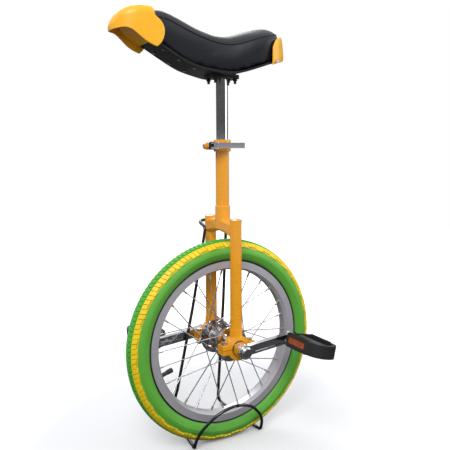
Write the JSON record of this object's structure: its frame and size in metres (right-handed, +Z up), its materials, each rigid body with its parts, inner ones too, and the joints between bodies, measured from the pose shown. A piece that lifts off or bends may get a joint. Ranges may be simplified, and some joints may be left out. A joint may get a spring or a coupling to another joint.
{
  "type": "unicycle",
  "caption": "Unicycle with a knobbly balloon tyre, fork frame with quick-release seat clamp, curved padded saddle with bumpers, and a bent-wire display stand.",
  "frame": {"origin": "point where the tyre touches the ground, straight under the axle", "axes": "+X forward, the way the saddle nose points; +Y the rider's left, along the axle; +Z up"},
  "size_m": [0.4125, 0.376, 0.8145],
  "materials": {
    "green_rubber": "matt moulded rubber",
    "black_rubber": "matt rubber",
    "tube_rubber": "smooth butyl",
    "rim_alloy": "satin silver",
    "tape": "woven tape",
    "nickel_brass": "nickel plated",
    "spoke_steel": "bright drawn wire",
    "chrome_plate": "polished chrome plate",
    "bearing_steel": "ground steel",
    "zinc_steel": "zinc plated",
    "yellow_paint": "gloss powder coat",
    "yellow_plastic": "smooth moulded plastic",
    "black_paint": "gloss black",
    "black_plastic": "fine grain",
    "black_vinyl": "soft semi-gloss vinyl",
    "foam": "open cell foam",
    "amber_reflector": "moulded reflector"
  },
  "bodies": {
    "frame": {"bearing_holder_left": "yellow_paint", "bearing_holder_right": "yellow_paint", "bearing_cap_left": "yellow_paint", "bearing_cap_right": "yellow_paint", "bearing_bolts": "zinc_steel", "bearing_washers": "zinc_steel", "bearing_nuts": "zinc_steel", "bearing_outer_races": "bearing_steel", "bearing_seals": "black_rubber", "leg_left": "yellow_paint", "leg_right": "yellow_paint", "leg_plugs": "yellow_plastic", "fork_crown": "yellow_paint", "seat_tube": "yellow_paint", "seat_collar": "yellow_paint", "clamp_skewer": "chrome_plate", "clamp_pad": "black_rubber", "clamp_nut": "chrome_plate"},
    "wheel": {"tyre": "green_rubber", "inner_tube": "tube_rubber", "rim_tape": "tape", "rim": "rim_alloy", "spoke_nipples": "nickel_brass", "spokes_left": "spoke_steel", "spokes_right": "spoke_steel", "valve_stem": "black_rubber", "valve_cap": "black_plastic", "hub_shell": "chrome_plate", "axle": "bearing_steel", "bearing_inner_races": "bearing_steel", "bearing_balls": "bearing_steel", "crank_left": "chrome_plate", "crank_right": "chrome_plate", "crank_nuts": "chrome_plate", "crank_caps": "chrome_plate", "pedal_spindle_left": "bearing_steel", "pedal_spindle_right": "bearing_steel", "pedal_nut_left": "zinc_steel", "pedal_nut_right": "zinc_steel"},
    "pedal_left": {"pedal_body_left": "black_plastic", "pedal_reflectors_left": "amber_reflector", "pedal_bushings_left": "black_plastic", "pedal_cap_left": "black_plastic"},
    "pedal_right": {"pedal_body_right": "black_plastic", "pedal_reflectors_right": "amber_reflector", "pedal_bushings_right": "black_plastic", "pedal_cap_right": "black_plastic"},
    "seat": {"seat_post": "chrome_plate", "saddle_bracket": "black_paint", "saddle_studs": "zinc_steel", "saddle_nuts": "zinc_steel", "saddle_base": "black_plastic", "saddle_foam": "foam", "saddle_cover": "black_vinyl", "front_handle": "yellow_plastic", "rear_bumper": "yellow_plastic", "bumper_screws": "zinc_steel", "cover_rivets": "zinc_steel"},
    "lever": {"clamp_lever": "chrome_plate"},
    "stand": {"stand_wire": "black_paint"}
  },
  "joints": [
    {"name": "wheel_spin", "type": "hinge", "parent": "frame", "child": "wheel", "pos_m": [0, 0, 0.2015], "axis": [0, 1, 0], "continuous": true},
    {"name": "pedal_left_spin", "type": "hinge", "parent": "wheel", "child": "pedal_left", "pos_m": [-0.10958, 0.14, 0.21109], "axis": [0, 1, 0], "continuous": true},
    {"name": "pedal_right_spin", "type": "hinge", "parent": "wheel", "child": "pedal_right", "pos_m": [0.10958, -0.14, 0.19191], "axis": [0, 1, 0], "continuous": true},
    {"name": "seat_height", "type": "slide", "parent": "frame", "child": "seat", "axis": [0, 0, 1], "range_m": [-0.085, 0.025]},
    {"name": "clamp_lever_swing", "type": "hinge", "parent": "frame", "child": "lever", "pos_m": [0.0265, 0.02185, 0.5815], "axis": [0, 0, -1], "range_deg": [0, 130]},
    {"name": "stand_slide", "type": "slide", "parent": "frame", "child": "stand", "axis": [0, 0, -1], "range_m": [0, 0.03]}
  ]
}
